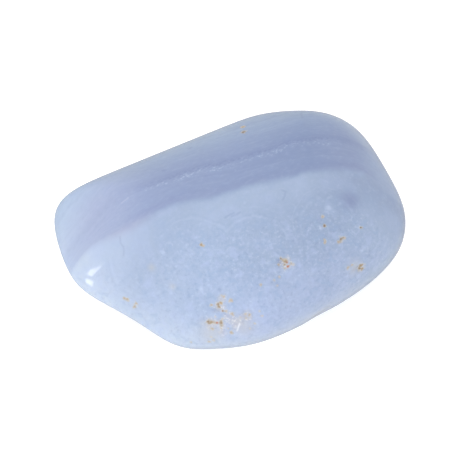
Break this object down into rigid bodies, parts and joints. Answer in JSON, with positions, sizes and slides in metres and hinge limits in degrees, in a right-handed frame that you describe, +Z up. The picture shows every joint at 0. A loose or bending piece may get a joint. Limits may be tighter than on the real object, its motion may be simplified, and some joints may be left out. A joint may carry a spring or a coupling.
{
  "type": "tumbled stone",
  "caption": "Smooth tumbled stone of banded blue chalcedony, an irregular rounded pebble with soft worn faces, small rusty pits and a flat base to lie on.",
  "frame": {"origin": "on the surface that the stone lies on, under the middle of its outline", "axes": "+X along the stone's length, +Z up out of the flat base that it lies on, through its thickness"},
  "size_m": [0.038, 0.027, 0.0168],
  "materials": {
    "stone": "gloss"
  },
  "bodies": {
    "root": {"stone": "stone"}
  },
  "joints": []
}
